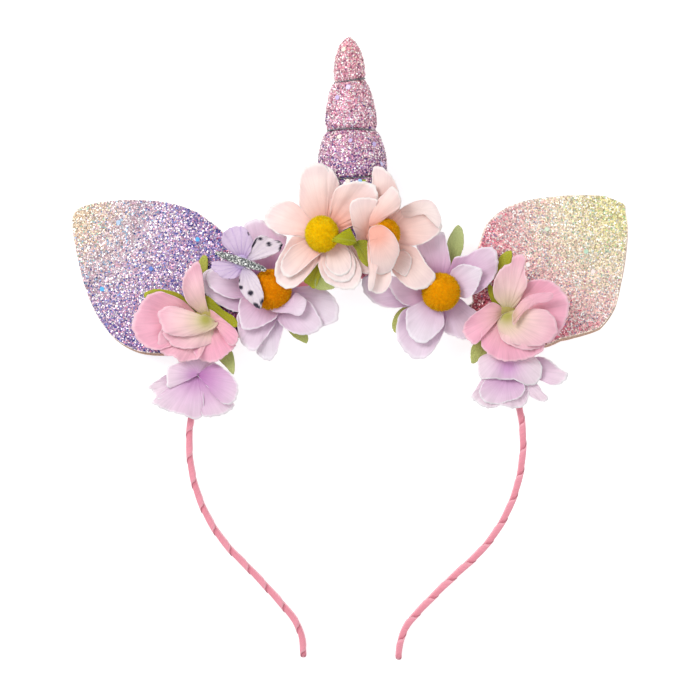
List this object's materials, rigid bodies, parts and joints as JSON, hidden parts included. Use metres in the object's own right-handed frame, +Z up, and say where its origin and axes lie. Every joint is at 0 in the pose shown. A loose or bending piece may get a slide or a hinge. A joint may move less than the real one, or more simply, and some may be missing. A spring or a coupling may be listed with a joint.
{
  "type": "unicorn horn headband",
  "caption": "Child's costume alice band with a stuffed glitter horn, glitter fabric ears, silk flowers with pompom centres, leaves and a butterfly, lying on its back.",
  "frame": {"origin": "on the floor, under the middle of the whole headband's box", "axes": "+Z up from the floor, the way the headband's front faces as it lies on its back; +Y from the open tips of the band to the tip of the horn; +X to the right seen from the front"},
  "size_m": [0.204, 0.2302, 0.0363],
  "materials": {
    "ribbon": "satin ribbon wound in a spiral",
    "horn_glitter": "chunky glitter cloth",
    "silver_thread": "twisted metallic thread",
    "ear_glitter": "ombre glitter cloth",
    "ear_felt": "felt backing",
    "peach_petal": "pressed silk",
    "lilac_petal": "pressed silk",
    "pink_petal": "pressed silk",
    "bell_petal": "pressed silk",
    "yarn": "cut yarn pile",
    "leaf": "pressed leaf cloth",
    "wing": "printed stiff film",
    "silver_glitter": "glitter paste"
  },
  "bodies": {
    "root": {"band": "ribbon", "horn": "horn_glitter", "horn_tie_upper": "silver_thread", "horn_tie_middle": "silver_thread", "horn_tie_lower": "silver_thread", "ear_left_front": "ear_glitter", "ear_left_back": "ear_felt", "ear_right_front": "ear_glitter", "ear_right_back": "ear_felt", "daisy_peach_left": "peach_petal", "daisy_peach_right": "peach_petal", "daisy_lilac_left": "lilac_petal", "daisy_lilac_right": "lilac_petal", "sweet_pea_left": "pink_petal", "sweet_pea_right": "pink_petal", "bell_left": "bell_petal", "bell_right": "bell_petal", "daisy_peach_left_pompom": "yarn", "daisy_peach_right_pompom": "yarn", "daisy_lilac_left_pompom": "yarn", "daisy_lilac_right_pompom": "yarn", "leaf_1": "leaf", "leaf_2": "leaf", "leaf_3": "leaf", "leaf_4": "leaf", "leaf_5": "leaf", "leaf_6": "leaf", "leaf_7": "leaf", "leaf_8": "leaf", "leaf_9": "leaf", "leaf_10": "leaf", "leaf_11": "leaf", "leaf_12": "leaf", "butterfly_wings": "wing", "butterfly_body": "silver_glitter"}
  },
  "joints": []
}
